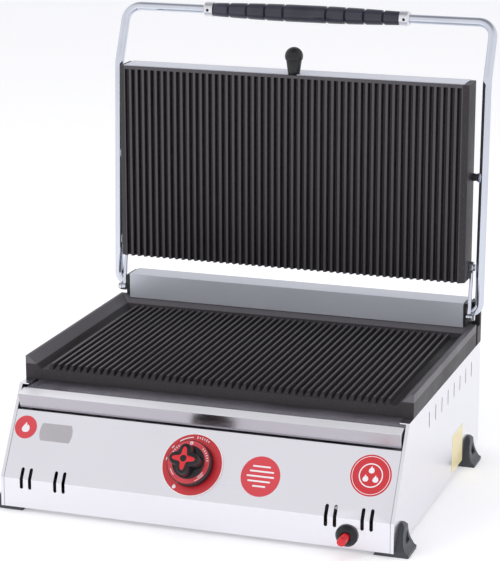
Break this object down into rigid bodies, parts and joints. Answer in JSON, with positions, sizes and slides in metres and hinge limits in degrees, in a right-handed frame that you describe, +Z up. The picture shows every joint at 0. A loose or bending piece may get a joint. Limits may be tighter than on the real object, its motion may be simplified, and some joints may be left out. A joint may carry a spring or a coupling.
{
  "type": "panini press",
  "caption": "Gas contact grill with a ribbed lower plate in a stainless body and a ribbed upper plate in a hinged bent-rod handle.",
  "frame": {"origin": "on the floor under the middle of the whole object's box, with the lid open", "axes": "+Z up, the front with the knob faces -Y, +X to the right seen from behind the camera facing the front"},
  "size_m": [0.533, 0.481, 0.5765],
  "materials": {
    "steel": "polished sheet",
    "galv": "plain sheet",
    "foot": "moulded",
    "iron": "dark cast",
    "black_metal": "satin",
    "brass": "turned",
    "burner_steel": "heat tinted",
    "pipe": "drawn",
    "ceramic": "glazed",
    "lead": "silicone sleeve",
    "black_plastic": "gloss",
    "red_plastic": "gloss",
    "red_print": "printed",
    "label": "printed film",
    "screw": "turned",
    "chrome": "mirror",
    "grip": "gloss",
    "collar": "satin"
  },
  "bodies": {
    "base": {"front_panel": "steel", "side_panel_left": "steel", "side_panel_right": "steel", "rear_panel": "steel", "base_pan": "galv", "foot_front_left": "foot", "foot_front_right": "foot", "foot_rear_left": "foot", "foot_rear_right": "foot", "lower_plate": "iron", "plate_rails": "galv", "tray_rails": "galv", "rear_box": "steel", "hinge_bracket_left": "black_metal", "hinge_bracket_right": "black_metal", "lid_stop": "iron", "pivot_bushes": "brass", "heat_shield": "galv", "burner": "burner_steel", "burner_supports": "galv", "mixing_tube": "burner_steel", "air_shutter": "galv", "gas_injector": "brass", "gas_valve": "brass", "valve_bracket": "galv", "supply_pipe": "pipe", "gas_inlet": "brass", "inlet_locknut": "brass", "thermocouple": "pipe", "ignition_electrode": "ceramic", "ignition_lead": "lead", "igniter_body": "black_plastic", "igniter_collar": "black_plastic", "dial_plate": "red_print", "labels": "label", "panel_screws": "screw"},
    "tray": {"drip_tray": "steel"},
    "handle": {"handle_frame": "chrome", "handle_grip": "grip", "grip_collars": "collar", "collar_screws": "black_metal", "stud_sockets": "chrome", "shaft_collars": "black_metal", "link_lugs": "chrome", "link_bolts": "screw"},
    "upper": {"upper_plate": "iron", "upper_cover": "steel", "cover_screws": "screw", "plate_studs": "screw", "link_studs": "screw", "lid_knob": "black_plastic"},
    "tie_left": {"link_left": "chrome"},
    "tie_right": {"link_right": "chrome"},
    "plunger": {"valve_plunger": "brass"},
    "knob": {"gas_knob": "black_plastic", "knob_spindle": "screw", "knob_insert": "red_plastic"},
    "button": {"igniter_button": "red_plastic"}
  },
  "joints": [
    {"name": "handle_hinge", "type": "hinge", "parent": "base", "child": "handle", "pos_m": [0, 0.18501, 0.1915], "axis": [1, 0, 0], "range_deg": [0, 89.08]},
    {"name": "plate_tilt", "type": "hinge", "parent": "handle", "child": "upper", "pos_m": [0, 0.19187, 0.36997], "axis": [1, 0, 0], "range_deg": [0, 0.857]},
    {"name": "left_link_swing", "type": "hinge", "parent": "handle", "child": "tie_left", "pos_m": [-0.2413, 0.17521, 0.1869], "axis": [1, 0, 0], "range_deg": [-1.54, 0]},
    {"name": "right_link_swing", "type": "hinge", "parent": "handle", "child": "tie_right", "pos_m": [0.2413, 0.17521, 0.1869], "axis": [1, 0, 0], "range_deg": [-1.54, 0]},
    {"name": "tray_slide", "type": "slide", "parent": "base", "child": "tray", "axis": [0, -1, 0], "range_m": [0, 0.075]},
    {"name": "knob_press", "type": "slide", "parent": "base", "child": "plunger", "axis": [0, 0.8526, -0.5225], "range_m": [0, 0.0024], "stiffness_N_per_m": 1500, "springref_m": -0.002},
    {"name": "knob_turn", "type": "hinge", "parent": "plunger", "child": "knob", "pos_m": [-0.007, -0.19254, 0.07881], "axis": [0, -0.8526, 0.5225], "range_deg": [0, 180]},
    {"name": "igniter_press", "type": "slide", "parent": "base", "child": "button", "axis": [0, 1, 0], "range_m": [0, 0.004], "stiffness_N_per_m": 1500, "springref_m": -0.002}
  ],
  "couplings": [
    {"joint": "plate_tilt", "follows": "handle_hinge", "ratio": 0.009161},
    {"joint": "left_link_swing", "follows": "handle_hinge", "ratio": -0.01644},
    {"joint": "right_link_swing", "follows": "handle_hinge", "ratio": -0.01644}
  ]
}
